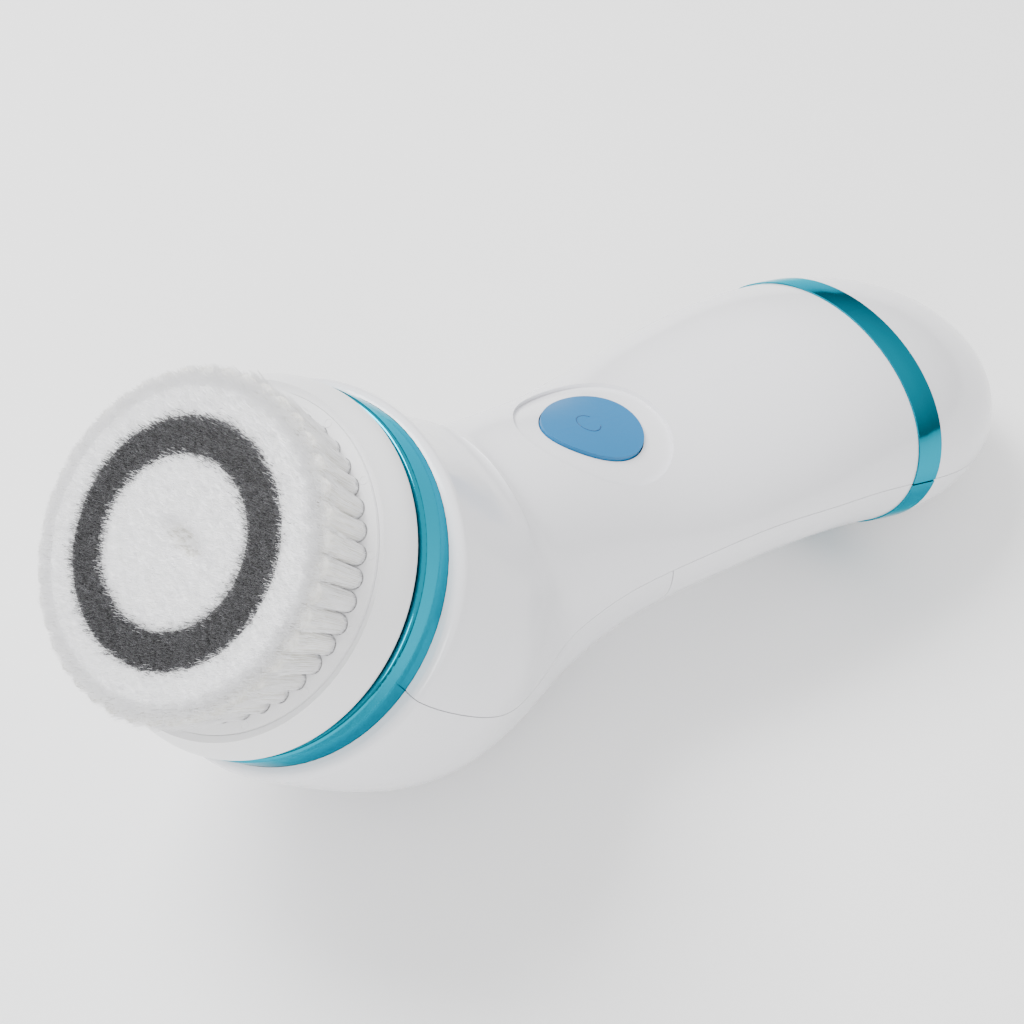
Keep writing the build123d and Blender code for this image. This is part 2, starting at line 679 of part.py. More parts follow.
def build_motor_screws():
    short = screw() - rod(SCREW_HEAD_D, -2 * SCREW_L, -FRAME_T)
    return [Pos(MOTOR_X, y, FRAME_TOP) * short for y in (-MOTOR_SCREW_Y, MOTOR_SCREW_Y)]


def build_case_screws():
    return [place * Rot(180, 0, 0) * screw() for place in case_screw_planes()]


# ---- power button and board --------------------------------------------------------------------------
def build_power_button():
    cap = egg_block(0, -BUTTON_REACH, BUTTON_REACH) & body_form(BUTTON_SINK)
    cap -= body_form(BUTTON_SINK + BUTTON_T)
    cap = max(cap.solids(), key=lambda piece: piece.volume)
    flange_top = WALL + 0.2
    flange = egg_block(BUTTON_FLANGE, -BUTTON_REACH, BUTTON_REACH) & body_form(flange_top)
    flange -= body_form(flange_top + BUTTON_FLANGE_T)
    flange = max(flange.solids(), key=lambda piece: piece.volume)
    start = plunger_top() + BUTTON_TRAVEL - SWITCH_TRAVEL
    stem = button_plane() * rod(STEM_D / 2, start, -WALL)
    return cap + flange + stem


def build_button_seal():
    outer = egg_block(BUTTON_FLANGE + SEAL_OUT, -BUTTON_REACH, BUTTON_REACH)
    band = outer - egg_block(BUTTON_FLANGE + SEAL_GAP, -BUTTON_REACH, BUTTON_REACH)
    seal = (band & body_form(WALL + SEAT)) - body_form(WALL + 0.9)
    return max(seal.solids(), key=lambda piece: piece.volume)


def build_circuit_board():
    board = Box(PCB_L, PCB_W, PCB_T)
    return button_plane() * Pos(PCB_SHIFT, 0, -PCB_DEPTH - PCB_T / 2) * board


def build_switch_body():
    body = Box(SWITCH_BODY, SWITCH_BODY, SWITCH_H) - rod(PLUNGER_D / 2 + RUN, 0.4, SWITCH_H)
    return button_plane() * Pos(0, 0, -PCB_DEPTH + SWITCH_H / 2) * body


def plunger_top():
    return -PCB_DEPTH + SWITCH_H + PLUNGER_OUT


def build_switch_plunger():
    return button_plane() * rod(PLUNGER_D / 2, plunger_top() - PLUNGER_OUT - 0.4, plunger_top())


def build_board_parts():
    under = -PCB_DEPTH - PCB_T
    chip = Pos(2.0, 0, under - 0.8) * Box(5.0, 4.0, 1.6)
    capacitor = Pos(-5.5, 4.0, under - 2.2) * Cylinder(2.0, 4.4)
    coil = Pos(-5.5, -4.0, under - 1.4) * Box(4.0, 4.0, 2.8)
    return [button_plane() * piece for piece in (chip, capacitor, coil)]


# ---- batteries ---------------------------------------------------------------------------------------
def cell():
    """AA cell along X, its nub at the +X end, centred on its whole length."""
    can = Rot(0, 90, 0) * Cylinder(CELL_D / 2, CELL_L)
    nub = Pos(CELL_L / 2 + NUB_H / 2, 0, 0) * Rot(0, 90, 0) * Cylinder(NUB_D / 2, NUB_H)
    return Pos(-NUB_H / 2, 0, 0) * (fillet(can.edges(), 0.6) + nub)


def cell_shift():
    """How far each cell lies from the bay's middle, away from its spring."""
    return BAY_L / 2 - CONTACT_T - CONTACT_GAP - (CELL_L + NUB_H) / 2


def build_battery(side):
    turn = 0 if side < 0 else 180
    return bay_plane() * Pos(-side * cell_shift(), side * CELL_PITCH / 2, 0) * Rot(0, 0, turn) * cell()


def build_battery_tray():
    width = CELL_PITCH + CELL_D + 2 * CELL_CLEAR + 2 * BAY_SIDE
    radius = CELL_D / 2 + CELL_CLEAR
    low = TRAY_LOW
    high = radius + BAY_FLOOR
    block = Pos(0, 0, (low + high) / 2) * Box(BAY_L + 2 * BAY_END, width, high - low)
    channel = Rot(0, 90, 0) * Cylinder(radius, BAY_L)
    channels = [Pos(0, y, 0) * channel for y in (-CELL_PITCH / 2, CELL_PITCH / 2)]
    hollow = Pos(0, 0, low / 2 - 0.5) * Box(BAY_L, width - 2 * BAY_SIDE, -low + 1)
    tray = block - hollow - channels
    for x in (-BAY_L / 2 - BAY_END / 2, BAY_L / 2 + BAY_END / 2):
        tray += Pos(x, 0, high + 2) * Box(BAY_END, width, 14)
    return (bay_plane() * tray) & body_form(WALL + SEAT)


def coil_spring(length):
    """Conical contact spring along X, from its plate at X = 0."""
    pitch = (length - SPRING_WIRE) / SPRING_TURNS
    path = Helix(pitch=pitch, height=length - SPRING_WIRE, radius=SPRING_R, cone_angle=SPRING_CONE)
    wire = sweep(Plane(origin=path @ 0, z_dir=path % 0) * Circle(SPRING_WIRE / 2), path=path, is_frenet=True)
    return Rot(0, 90, 0) * Pos(0, 0, SPRING_WIRE / 2) * wire


def contact_plate(side):
    """Spring contact for one cell, against the bay's end wall behind it."""
    gap = 2 * cell_shift() + CONTACT_GAP
    plate = Pos(CONTACT_T / 2, 0, 0) * Box(CONTACT_T, CONTACT_W + 1, CONTACT_W)
    spring = Pos(CONTACT_T - 0.05, 0, 0) * coil_spring(gap - 0.1)
    piece = plate + spring
    turn = 0 if side < 0 else 180
    return bay_plane() * Pos(side * BAY_L / 2, side * CELL_PITCH / 2, 0) * Rot(0, 0, turn) * piece


def flat_contact(side):
    """Flat contact that the nub of one cell touches."""
    x = -side * (BAY_L / 2 - CONTACT_T / 2)
    return bay_plane() * Pos(x, side * CELL_PITCH / 2, 0) * Box(CONTACT_T, CONTACT_W, CONTACT_W)


# ---- writing the parts -------------------------------------------------------------------------------
def solids_of(shape):
    """One shape, or a compound of the separate solids of one node."""
    if isinstance(shape, (list, tuple)):
        pieces = [solid for piece in shape for solid in piece.solids()]
        return Compound(pieces)
    return shape


def build_all():
    whole = skin()
    back = build_back_shell(whole)
    band = tail_band()
    return {
        "front_shell": build_front_shell(whole),
        "back_shell": back,
        "battery_cover": build_battery_cover(whole),
        "head_trim_ring": build_head_trim_ring(),
        "tail_trim_front": band & seam_side(True, TAIL_RING_END_GAP / 2),
        "tail_trim_back": band & seam_side(False, -TAIL_RING_END_GAP / 2),
        "front_plate": build_front_plate(),
        "plate_screws": build_plate_screws(),
        "spindle_bush": build_spindle_bush(),
        "shaft_seal": build_shaft_seal(),
        "drive_spindle": build_drive_spindle(),
        "output_gear": build_output_gear(),
        "idler_gear": build_idler_gear(),
        "idler_pin": build_idler_pin(),
        "motor_pinion": build_motor_pinion(),
        "motor_shaft": build_motor_shaft(),
        "motor_can": build_motor_can(),
        "motor_end_cap": build_motor_end_cap(),
        "motor_screws": build_motor_screws(),
        "gearbox_frame": build_gearbox_frame(),
        "brush_base": build_brush_base(),
        "tuft_plate": build_tuft_plate(),
        "bristles_outer": build_bristles_outer(),
        "bristles_dark": build_bristles_dark(),
        "bristles_centre": build_bristles_centre(),
        "power_button": build_power_button(),
        "button_seal": build_button_seal(),
        "circuit_board": build_circuit_board(),
        "board_parts": build_board_parts(),
        "switch_body": build_switch_body(),
        "switch_plunger": build_switch_plunger(),
        "battery_tray": build_battery_tray(),
        "battery_left": build_battery(-1),
        "battery_right": build_battery(1),
        "spring_contact_left": contact_plate(-1),
        "spring_contact_right": contact_plate(1),
        "flat_contact_left": flat_contact(-1),
        "flat_contact_right": flat_contact(1),
        "case_screws": build_case_screws(),
    }


def rest_place(nodes):
    """Lays the device on its back, its box centred over the origin and standing on Z = 0."""
    laid = Location((0, 0, 0), (0, REST_TILT - 90, 0))
    outside = [nodes[name] for name in ("front_shell", "back_shell", "battery_cover", "tail_trim_back",
                                        "bristles_outer", "brush_base")]
    box = (laid * Compound(outside)).bounding_box()
    return Location((-(box.min.X + box.max.X) / 2, 0, -box.min.Z)) * laid


nodes = {name: solids_of(shape) for name, shape in build_all().items()}
rest = rest_place(nodes)
idler_x, idler_y = idler_place()
for label, point in (
    ("spindle axis", Vector(0, 0, 0)),
    ("along the spindle axis", Vector(0, 0, 1)),
    ("idler axis", Vector(idler_x, idler_y, 0)),
    ("motor axis", Vector(MOTOR_X, 0, 0)),
    ("button surface", button_plane().origin),
    ("along the button's push", button_plane().origin - button_plane().z_dir),
    ("cover hinge", tail_tip() + along(DOME_HEADING) * HINGE_OUT),
):
    place = rest * Pos(point.X, point.Y, point.Z)
    print(label, [round(value, 3) for value in place.position])

os.makedirs("parts", exist_ok=True)
for name, shape in nodes.items():
    export_step(rest * shape, f"parts/{name}.step")
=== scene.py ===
# %% [markdown]
# # A facial cleansing brush around a fixed CAD frame
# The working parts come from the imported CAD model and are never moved. This script gives every part its
# finish, grows the real fibres of the brush, adds small moulding details, and sets up the studio.

# %% Load the frame
import math
import json
import random

import bpy
import bmesh
from mathutils import Matrix, Vector, noise
from mathutils.bvhtree import BVHTree


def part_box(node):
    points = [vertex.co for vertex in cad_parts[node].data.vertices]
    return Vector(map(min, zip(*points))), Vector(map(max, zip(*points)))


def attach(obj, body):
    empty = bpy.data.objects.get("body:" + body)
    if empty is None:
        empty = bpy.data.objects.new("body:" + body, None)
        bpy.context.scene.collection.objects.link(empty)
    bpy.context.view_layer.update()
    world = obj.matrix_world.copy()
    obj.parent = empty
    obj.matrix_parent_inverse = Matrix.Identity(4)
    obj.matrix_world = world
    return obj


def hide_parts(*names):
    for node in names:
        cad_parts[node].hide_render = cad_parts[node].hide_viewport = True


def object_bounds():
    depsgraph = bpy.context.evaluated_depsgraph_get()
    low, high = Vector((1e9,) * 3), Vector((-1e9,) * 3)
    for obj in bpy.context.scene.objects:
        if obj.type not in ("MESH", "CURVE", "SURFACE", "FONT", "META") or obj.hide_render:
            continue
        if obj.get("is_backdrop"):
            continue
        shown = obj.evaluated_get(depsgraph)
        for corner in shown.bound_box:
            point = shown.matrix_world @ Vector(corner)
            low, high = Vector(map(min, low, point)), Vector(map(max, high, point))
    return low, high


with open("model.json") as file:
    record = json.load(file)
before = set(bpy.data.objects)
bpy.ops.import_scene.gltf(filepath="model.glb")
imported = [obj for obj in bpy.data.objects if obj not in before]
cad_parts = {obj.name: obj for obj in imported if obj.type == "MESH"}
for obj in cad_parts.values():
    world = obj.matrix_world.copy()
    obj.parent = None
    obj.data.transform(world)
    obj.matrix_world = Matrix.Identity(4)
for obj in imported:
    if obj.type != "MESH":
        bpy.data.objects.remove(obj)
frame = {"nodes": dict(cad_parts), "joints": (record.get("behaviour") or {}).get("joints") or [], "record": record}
nodes = frame["nodes"]
cad_low, cad_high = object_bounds()
MM = 0.001
joints = {joint["name"]: joint for joint in frame["joints"]}
print("parts in the frame:", len(nodes))

# %% [markdown]
# The brush head has its own frame: the spindle's axis is its Z. Everything on the head is modelled there,
# in millimetres, and carried to its place with one matrix, so a ring of tufts is a plain ring of angles.

# %% Frame of the brush head
spin = joints["spindle_spin"]
HEAD_Z = Vector(spin["axis"]).normalized()
HEAD_Y = Vector((0, 1, 0))
HEAD_X = HEAD_Y.cross(HEAD_Z).normalized()
HEAD_AT = Vector(spin["pos_m"])


def frame_matrix(x, y, z, origin):
    """Matrix from millimetres in a local frame to metres in the row's frame."""
    turn = Matrix((x, y, z)).transposed().to_4x4()
    return Matrix.Translation(origin) @ turn @ Matrix.Scale(MM, 4)


HEAD = frame_matrix(HEAD_X, HEAD_Y, HEAD_Z, HEAD_AT)
print("head axis:", [round(v, 3) for v in HEAD_Z])

# %% [markdown]
# ## Finishes
# Moulded plastic is never a flat colour: its gloss wanders a little from place to place, and its skin has a
# faint orange peel. One node group holds that effect and every plastic here uses it with its own values.


# %% A shared group for moulded skins
def moulded_skin_group():
    group = bpy.data.node_groups.new("moulded_skin", "ShaderNodeTree")
    face = group.interface
    for name, kind, default in (
        ("Color", "NodeSocketColor", (0.8, 0.8, 0.8, 1)),
        ("Roughness", "NodeSocketFloat", 0.3),
        ("Gloss Spread", "NodeSocketFloat", 0.05),
        ("Peel Scale", "NodeSocketFloat", 300.0),
        ("Tint Spread", "NodeSocketFloat", 0.02),
    ):
        face.new_socket(name=name, in_out="INPUT", socket_type=kind).default_value = default
    results = (("Color", "NodeSocketColor"), ("Roughness", "NodeSocketFloat"), ("Peel", "NodeSocketFloat"))
    for name, kind in results:
        face.new_socket(name=name, in_out="OUTPUT", socket_type=kind)
    make, link = group.nodes.new, group.links.new
    inside, outside = make("NodeGroupInput"), make("NodeGroupOutput")
    coords = make("ShaderNodeTexCoord")
    cloud = make("ShaderNodeTexNoise")
    cloud.inputs["Scale"].default_value = 45.0
    cloud.inputs["Detail"].default_value = 3.0
    link(coords.outputs["Object"], cloud.inputs["Vector"])
    centred = make("ShaderNodeMath")
    centred.operation = "SUBTRACT"
    centred.inputs[1].default_value = 0.5
    link(cloud.outputs["Fac"], centred.inputs[0])
    gloss = make("ShaderNodeMath")
    gloss.operation = "MULTIPLY_ADD"
    link(centred.outputs[0], gloss.inputs[0])
    link(inside.outputs["Gloss Spread"], gloss.inputs[1])
    link(inside.outputs["Roughness"], gloss.inputs[2])
    link(gloss.outputs[0], outside.inputs["Roughness"])
    value = make("ShaderNodeMath")
    value.operation = "MULTIPLY_ADD"
    value.inputs[2].default_value = 1.0
    link(centred.outputs[0], value.inputs[0])
    link(inside.outputs["Tint Spread"], value.inputs[1])
    tint = make("ShaderNodeHueSaturation")
    link(inside.outputs["Color"], tint.inputs["Color"])
    link(value.outputs[0], tint.inputs["Value"])
    link(tint.outputs["Color"], outside.inputs["Color"])
    peel = make("ShaderNodeTexNoise")
    peel.inputs["Detail"].default_value = 2.0
    link(coords.outputs["Object"], peel.inputs["Vector"])
    link(inside.outputs["Peel Scale"], peel.inputs["Scale"])
    link(peel.outputs["Fac"], outside.inputs["Peel"])
    return group


SKIN = moulded_skin_group()
print("skin group outputs:", [node.name for node in SKIN.nodes if node.bl_idname == "NodeGroupOutput"])

# %% [markdown]
# Each hard finish is the shared skin joined to a Principled shader. The metals use it too, with a metallic
# value of one, because plated and drawn parts have the same slow change in gloss.


# %% Hard finishes
def plastic(name, color, roughness, spread=0.06, peel_scale=350.0, peel_depth=0.02, tint=0.02, **sockets):
    """A moulded plastic: the shared skin drives colour, roughness and a very shallow bump."""
    material = bpy.data.materials.new(name)
    material.use_nodes = True
    tree = material.node_tree
    shader = tree.nodes["Principled BSDF"]
    skin = tree.nodes.new("ShaderNodeGroup")
    skin.node_tree = SKIN
    skin.inputs["Color"].default_value = (*color, 1)
    skin.inputs["Roughness"].default_value = roughness
    skin.inputs["Gloss Spread"].default_value = spread
    skin.inputs["Peel Scale"].default_value = peel_scale
    skin.inputs["Tint Spread"].default_value = tint
    bump = tree.nodes.new("ShaderNodeBump")
    bump.inputs["Strength"].default_value = 0.25
    bump.inputs["Distance"].default_value = peel_depth * MM
    tree.links.new(skin.outputs["Peel"], bump.inputs["Height"])
    tree.links.new(bump.outputs["Normal"], shader.inputs["Normal"])
    tree.links.new(skin.outputs["Color"], shader.inputs["Base Color"])
    tree.links.new(skin.outputs["Roughness"], shader.inputs["Roughness"])
    for socket, value in sockets.items():
        shader.inputs[socket.replace("_", " ")].default_value = value
    return material


FINISHES = {
    "white_abs": plastic("white_abs", (0.83, 0.83, 0.86), 0.2, Coat_Weight=0.3, Coat_Roughness=0.08),
    "brush_white": plastic("brush_white", (0.84, 0.84, 0.85), 0.32, peel_depth=0.03),
    "blue_abs": plastic("blue_abs", (0.0, 0.15, 0.36), 0.36, peel_scale=900.0, peel_depth=0.04),
    "blue_mark": plastic("blue_mark", (0.0, 0.05, 0.16), 0.3),
    "white_acetal": plastic("white_acetal", (0.78, 0.78, 0.75), 0.45),
    "natural_nylon": plastic("natural_nylon", (0.72, 0.70, 0.64), 0.5),
    "black_plastic": plastic("black_plastic", (0.02, 0.02, 0.022), 0.45),
    "grey_silicone": plastic("grey_silicone", (0.3, 0.3, 0.32), 0.6),
    "board_green": plastic("board_green", (0.02, 0.16, 0.06), 0.35),
    "cell_sleeve": plastic("cell_sleeve", (0.06, 0.06, 0.07), 0.3, Metallic=0.6),
    "cyan_chrome": plastic("cyan_chrome", (0.0, 0.25, 0.35), 0.1, spread=0.02, tint=0.03, Metallic=1.0,
                           Specular_Tint=(0.12, 0.62, 0.72, 1)),
    "sintered_bronze": plastic("sintered_bronze", (0.5, 0.33, 0.16), 0.45, Metallic=1.0),
    "brass": plastic("brass", (0.7, 0.52, 0.22), 0.3, Metallic=1.0),
    "bright_steel": plastic("bright_steel", (0.6, 0.6, 0.62), 0.22, Metallic=1.0),
    "motor_steel": plastic("motor_steel", (0.45, 0.45, 0.47), 0.35, Metallic=1.0),
    "zinc_steel": plastic("zinc_steel", (0.5, 0.5, 0.52), 0.35, Metallic=1.0),
    "nickel_contact": plastic("nickel_contact", (0.66, 0.64, 0.6), 0.2, Metallic=1.0),
}
print("hard finishes:", len(FINISHES))

# %% [markdown]
# Soft nylon fibre catches light along each strand, so its tone changes quickly across the strands and slowly
# along them. A noise pattern stretched along the head's axis does that. The Mapping node turns the pattern
# from the row's axes into the head's, because the pieces themselves stay unturned.


# %% Finish of the fibres
STRAND_STRETCH = 8.0


def strand_tone_group():
    group = bpy.data.node_groups.new("strand_tone", "ShaderNodeTree")
    face = group.interface
    for name in ("Dark", "Light"):
        face.new_socket(name=name, in_out="INPUT", socket_type="NodeSocketColor")
    face.new_socket(name="Scale", in_out="INPUT", socket_type="NodeSocketFloat").default_value = 1500.0
    face.new_socket(name="Color", in_out="OUTPUT", socket_type="NodeSocketColor")
    face.new_socket(name="Strands", in_out="OUTPUT", socket_type="NodeSocketFloat")
    make, link = group.nodes.new, group.links.new
    inside, outside = make("NodeGroupInput"), make("NodeGroupOutput")
    coords = make("ShaderNodeTexCoord")
    turn = make("ShaderNodeMapping")
    turn.vector_type = "TEXTURE"
    turn.inputs["Rotation"].default_value[1] = math.atan2(HEAD_Z.x, HEAD_Z.z)
    turn.inputs["Scale"].default_value[2] = STRAND_STRETCH
    link(coords.outputs["Object"], turn.inputs["Vector"])
    strands = make("ShaderNodeTexNoise")
    strands.inputs["Detail"].default_value = 2.0
    link(turn.outputs["Vector"], strands.inputs["Vector"])
    link(inside.outputs["Scale"], strands.inputs["Scale"])
    spread = make("ShaderNodeMapRange")
    spread.inputs["From Min"].default_value = 0.4
    spread.inputs["From Max"].default_value = 0.62
    link(strands.outputs["Fac"], spread.inputs["Value"])
    tone = make("ShaderNodeMix")
    tone.data_type = "RGBA"
    link(spread.outputs["Result"], tone.inputs["Factor"])
    link(inside.outputs["Dark"], tone.inputs["A"])
    link(inside.outputs["Light"], tone.inputs["B"])
    link(tone.outputs["Result"], outside.inputs["Color"])
    link(spread.outputs["Result"], outside.inputs["Strands"])
    return group


STRAND_TONE = strand_tone_group()


def fibre(name, dark, light, scale, painted_glow):
    """Nylon fibre: tone and bump follow the strands, and a painted glow (an emission) stands for light carried
    inside them and lifts the shade between fibres.
    """
    material = bpy.data.materials.new(name)
    material.use_nodes = True
    tree = material.node_tree
    shader = tree.nodes["Principled BSDF"]
    tone = tree.nodes.new("ShaderNodeGroup")
    tone.node_tree = STRAND_TONE
    tone.inputs["Dark"].default_value = (*dark, 1)
    tone.inputs["Light"].default_value = (*light, 1)
    tone.inputs["Scale"].default_value = scale
    bump = tree.nodes.new("ShaderNodeBump")
    bump.inputs["Strength"].default_value = 0.3
    bump.inputs["Distance"].default_value = 0.05 * MM
    tree.links.new(tone.outputs["Strands"], bump.inputs["Height"])
    tree.links.new(bump.outputs["Normal"], shader.inputs["Normal"])
    tree.links.new(tone.outputs["Color"], shader.inputs["Base Color"])
    # Painted glow: the fibres give off their own tone as light, though they are no lamp.
    tree.links.new(tone.outputs["Color"], shader.inputs["Emission Color"])
    shader.inputs["Emission Strength"].default_value = painted_glow
    shader.inputs["Roughness"].default_value = 0.8
    shader.inputs["Specular IOR Level"].default_value = 0.25
    shader.inputs["Sheen Weight"].default_value = 0.3
    return material


# The last value is each fibre's painted glow, an emission strength. The charcoal fibre has none.
FINISHES["white_fibre"] = fibre("white_fibre", (0.9, 0.9, 0.91), (0.97, 0.97, 0.98), 1500.0, 0.12)
FINISHES["ivory_fibre"] = fibre("ivory_fibre", (0.74, 0.725, 0.68), (0.9, 0.89, 0.85), 1500.0, 0.04)
FINISHES["charcoal_fibre"] = fibre("charcoal_fibre", (0.004, 0.004, 0.005), (0.17, 0.17, 0.18), 7000.0, 0.0)
print("finishes with fibres:", len(FINISHES))

# %% [markdown]
# The frame's record names a material slot for every part, and each finish above has the name of a slot. So
# the parts are coloured by looking their slot up. Their shapes stay as they are.

# %% Give every CAD part its finish
slot_of = {part["node"]: part["material_slot"] for part in frame["record"]["subparts"]}
for name, part in nodes.items():
    part.data.materials.clear()
    part.data.materials.append(FINISHES[slot_of[name]])
print("slots used by the parts:", len(set(slot_of.values())))

# %% [markdown]
# ## The brush
# A real head holds round bundles of fibre in drilled holes. At the root each bundle is a separate smooth
# column, and towards the tips the bundles splay into one soft surface. So the head is made in three layers:
# a core just under the surface for each colour, the outer row's columns, and fine fibres over both. Hair
# particles could do the last part, but plain curves with a thin bevel stay ordinary mesh when exported.

# %% Sizes of the brush, in millimetres in the head's frame
TUFT_FACE = 12.7
TUFT_R = 1.4
OUTER_ROW_R = 20.3
OUTER_TUFTS = 42
FLARE = 1.8
DARK_IN, DARK_OUT = 11.5, 16.6
EDGE_R = OUTER_ROW_R + TUFT_R + FLARE
PARTING_AT = Vector((0.9, -0.6))
PARTING_L, PARTING_W, PARTING_DEPTH = 2.9, 1.25, 5.0
EDGE_ROUND = 2.6
TIP_HEIGHT, DOME_DROP, EDGE_DROP = 25.5, 1.0, 1.5
RIPPLE, RIPPLE_SCALE = 0.25, 0.35
SHELL = 0.8
PLATE_R = 23.16
rng = random.Random(5)
print("brush radius at the tips, mm:", round(EDGE_R, 2))


def parting(x, y):
    """How much a point belongs to the parting, from 0 to 1."""
    away = Vector((x, y)) - PARTING_AT
    return math.exp(-((away.x / PARTING_W) ** 2 + (away.y / PARTING_L) ** 2))


def brush_height(x, y):
    """Height of the fibre tips: a low dome with a rounded edge and a small parting near the middle."""
    radius = math.hypot(x, y)
    over = max(0.0, radius - EDGE_R + EDGE_ROUND) / EDGE_ROUND
    ripple = RIPPLE * noise.noise(Vector((x * RIPPLE_SCALE, y * RIPPLE_SCALE, 0.0)))
    dome = TIP_HEIGHT - DOME_DROP * (radius / EDGE_R) ** 2 - EDGE_DROP * over ** 2
    return dome - PARTING_DEPTH * parting(x, y) + ripple


def add_piece(name, mesh, material, body="brush_head"):
    """Put a finished mesh in the scene, riding on its body."""
    piece = bpy.data.objects.new(name, mesh)
    bpy.context.scene.collection.objects.link(piece)
    mesh.shade_smooth()
    mesh.materials.append(FINISHES[material])
    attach(piece, body)
    return piece


def copy_round(bm, count):
    """Repeat everything in the bmesh round the head's axis, count times in all."""
    geometry = bm.verts[:] + bm.edges[:] + bm.faces[:]
    angle = math.tau * (count - 1) / count
    bmesh.ops.spin(bm, geom=geometry, axis=(0, 0, 1), cent=(0, 0, 0), dvec=(0, 0, 0), angle=angle,
                   steps=count - 1, use_duplicate=True)


def finish_bmesh(name, bm):
    """Carry a bmesh from the head's frame to its place and make it a mesh."""
    bmesh.ops.remove_doubles(bm, verts=bm.verts, dist=0.001)
    bmesh.ops.recalc_face_normals(bm, faces=bm.faces)
    bmesh.ops.transform(bm, matrix=HEAD, verts=bm.verts)
    mesh = bpy.data.meshes.new(name)
    bm.to_mesh(mesh)
    bm.free()
    return mesh


# %% [markdown]
# Each core is a turned profile. It lies a little under the tips, so that between the fibres one sees more
# fibre of the same colour. Its top follows the same height as the tips do.


# %% Cores under the fibres
CORE_TOP = 24.0
CORE_FOOT = TUFT_FACE + 0.05
CROWNED_ABOVE = TUFT_FACE + 4


def core(name, profile, slot, node):
    bm = bmesh.new()
    corners = [bm.verts.new((r, 0, z)) for r, z in profile]
    edges = [bm.edges.new(pair) for pair in zip(corners, corners[1:] + corners[:1])]
    bmesh.ops.subdivide_edges(bm, edges=edges, cuts=7)
    bmesh.ops.spin(bm, geom=bm.verts[:] + bm.edges[:], axis=(0, 0, 1), cent=(0, 0, 0), dvec=(0, 0, 0),
                   angle=math.tau, steps=120, use_merge=True)
    for v in bm.verts:
        if v.co.z > CROWNED_ABOVE:
            share = (v.co.z - TUFT_FACE) / (profile[-1][1] - TUFT_FACE)
            v.co.z = TUFT_FACE + (brush_height(v.co.x, v.co.y) - SHELL - TUFT_FACE) * share
    piece = add_piece(name, finish_bmesh(name, bm), slot)
    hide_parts(node)
    print(name, "faces:", len(piece.data.polygons))


core("core_outer", ((DARK_OUT, CORE_FOOT), (OUTER_ROW_R - 1.2, CORE_FOOT), (EDGE_R - 1.6, CORE_TOP - 1.2),
                    (EDGE_R - 3.0, CORE_TOP), (DARK_OUT, CORE_TOP)), "white_fibre", "bristles_outer")
core("core_dark", ((DARK_IN, CORE_FOOT), (DARK_OUT, CORE_FOOT), (DARK_OUT, CORE_TOP), (DARK_IN, CORE_TOP)),
     "charcoal_fibre", "bristles_dark")
core("core_centre", ((0.01, CORE_FOOT), (DARK_IN, CORE_FOOT), (DARK_IN, CORE_TOP), (0.01, CORE_TOP)),
     "white_fibre", "bristles_centre")

# %% [markdown]
# The outer row's bundles are seen from the side, so each is a column of its own: rounded where it enters
# its hole, widening and leaning out towards the tips. One cylinder is cut into rings, then each ring is
# scaled and moved along the lean. A spin that duplicates then repeats the finished column round the head.
# Making one and copying it is also safer than bending copies in a loop: bmesh operators may renew their
# vertices, so a list of vertices kept from before an operator can't be trusted after it.

# %% Columns of the outer row
COLUMN_FOOT, COLUMN_TOP = TUFT_FACE - 0.25, 23.2
ROOT_ROUND, COLUMN_FILL, COLUMN_SWELL, COLUMN_LEAN = 0.1, 0.92, 0.35, 1.35
bm = bmesh.new()
bmesh.ops.create_cone(bm, cap_ends=True, segments=12, radius1=1, radius2=1, depth=1,
                      matrix=Matrix.Translation((0, 0, 0.5)))
uprights = [e for e in bm.edges if abs(e.verts[0].co.z - e.verts[1].co.z) > 0.5]
bmesh.ops.subdivide_edges(bm, edges=uprights, cuts=9, use_grid_fill=True)
for v in bm.verts:
    share = v.co.z
    rounding = math.sqrt(max(0.0, 1 - max(0.0, 1 - share / ROOT_ROUND) ** 2))
    radius = TUFT_R * COLUMN_FILL * (0.25 + 0.75 * rounding) * (1 + COLUMN_SWELL * share)
    reach = OUTER_ROW_R + COLUMN_LEAN * share ** 1.6 + v.co.x * radius
    v.co = Vector((reach, v.co.y * radius, COLUMN_FOOT + (COLUMN_TOP - COLUMN_FOOT) * share))
copy_round(bm, OUTER_TUFTS)
add_piece("tuft_columns", finish_bmesh("tuft_columns", bm), "ivory_fibre")
print("tuft columns:", OUTER_TUFTS)

# %% [markdown]
# Every fibre is a three-point curve, thick at the root and thin at the tip. They share one bevel and become
# mesh in batches, so that no piece grows too heavy.


# %% Fibres
FIBRE_R = 0.05
BATCH = 11000
PARTED = 0.3
ROOT_FILL, TIP_SPREAD = 0.95, 1.25


def sunflower(step):
    """Angle of a step on a sunflower spiral, which spreads points evenly."""
    return step * math.pi * (3 - math.sqrt(5))


def fibre_mesh(name, strands):
    curve = bpy.data.curves.new(name, "CURVE")
    curve.dimensions = "3D"
    curve.bevel_depth = FIBRE_R * MM
    curve.bevel_resolution = 0
    for root, bend, tip in strands:
        line = curve.splines.new("POLY")
        line.points.add(2)
        for point, place, girth in zip(line.points, (root, bend, tip), (1.0, 0.9, 0.4)):
            point.co = (*(HEAD @ place), 1)
            point.radius = girth
    holder = bpy.data.objects.new(name + "_curve", curve)
    mesh = bpy.data.meshes.new_from_object(holder)
    mesh.name = name
    bpy.data.objects.remove(holder)
    bpy.data.curves.remove(curve)
    return mesh


def grow(name, strands, material):
    for number, start in enumerate(range(0, len(strands), BATCH), 1):
        label = f"{name}_{number}"
        add_piece(label, fibre_mesh(label, strands[start:start + BATCH]), material)
    print(name, "fibres:", len(strands))


